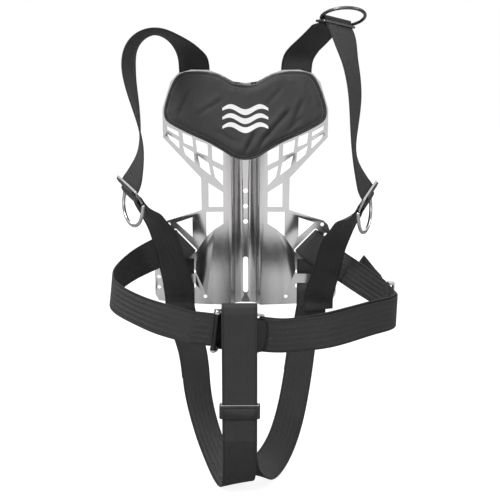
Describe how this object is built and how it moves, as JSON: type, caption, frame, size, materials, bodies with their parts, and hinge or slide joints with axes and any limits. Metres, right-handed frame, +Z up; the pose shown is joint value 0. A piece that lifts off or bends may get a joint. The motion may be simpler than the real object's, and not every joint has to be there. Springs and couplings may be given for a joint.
{
  "type": "buoyancy compensator vest",
  "caption": "Diver's backplate harness: perforated steel plate with padded top, shoulder straps with D-rings, buckled waist belt and forked crotch strap.",
  "frame": {"origin": "centre of the middle tank bolt hole, on the rear face of the plate's channel floor", "axes": "+Z up the wearer's back, +Y away from the wearer's back, -Y the wearer's front; +X is the right side in the picture, which is the wearer's left"},
  "size_m": [0.4327, 0.3189, 0.7249],
  "materials": {
    "plate_steel": "satin",
    "polished_steel": "polished",
    "black_metal": "satin",
    "webbing": "woven, slight sheen",
    "pad_fabric": "matte",
    "binding": "matte"
  },
  "bodies": {
    "harness": {"back_plate": "plate_steel", "back_pad": "pad_fabric", "pad_binding": "binding", "shoulder_left_upper": "webbing", "shoulder_right_upper": "webbing", "shoulder_left_lower": "webbing", "shoulder_right_lower": "webbing", "belt_left": "webbing", "belt_right": "webbing", "crotch_left": "webbing", "crotch_right": "webbing", "chest_glide_left": "polished_steel", "chest_glide_right": "polished_steel", "shoulder_glide_top": "polished_steel", "buckle_base": "polished_steel", "buckle_pin": "polished_steel"},
    "chest_ring_left": {"chest_ring_left": "polished_steel"},
    "chest_ring_right": {"chest_ring_right": "polished_steel"},
    "shoulder_ring_top": {"shoulder_ring_top": "polished_steel"},
    "buckle_lever": {"buckle_lever": "polished_steel"},
    "crotch_slider": {"crotch_slider": "black_metal", "slider_cover": "webbing"},
    "hip_keeper": {"hip_keeper": "polished_steel"}
  },
  "joints": [
    {"name": "chest_ring_left_swing", "type": "hinge", "parent": "harness", "child": "chest_ring_left", "pos_m": [-0.16315, -0.20362, 0.04497], "axis": [-0.5506, 0.7708, 0.3204], "range_deg": [-4, 80]},
    {"name": "chest_ring_right_swing", "type": "hinge", "parent": "harness", "child": "chest_ring_right", "pos_m": [0.17566, -0.205, 0.03496], "axis": [-0.4017, -0.8537, -0.3314], "range_deg": [-4, 80]},
    {"name": "shoulder_ring_top_swing", "type": "hinge", "parent": "harness", "child": "shoulder_ring_top", "pos_m": [0.13862, -0.10315, 0.30124], "axis": [-0.8501, -0.5001, 0.165], "range_deg": [-15, 150]},
    {"name": "buckle_lever_turn", "type": "hinge", "parent": "harness", "child": "buckle_lever", "pos_m": [-0.04088, -0.30986, -0.12717], "axis": [-0.1145, 0.1, -0.9884], "range_deg": [0, 2.5]},
    {"name": "crotch_slider_slide", "type": "slide", "parent": "harness", "child": "crotch_slider", "axis": [0, 0, 1], "range_m": [-0.012, 0.012]},
    {"name": "hip_keeper_slide", "type": "slide", "parent": "harness", "child": "hip_keeper", "axis": [-0.1301, 0.9865, 0.0991], "range_m": [-0.004, 0.004]}
  ]
}
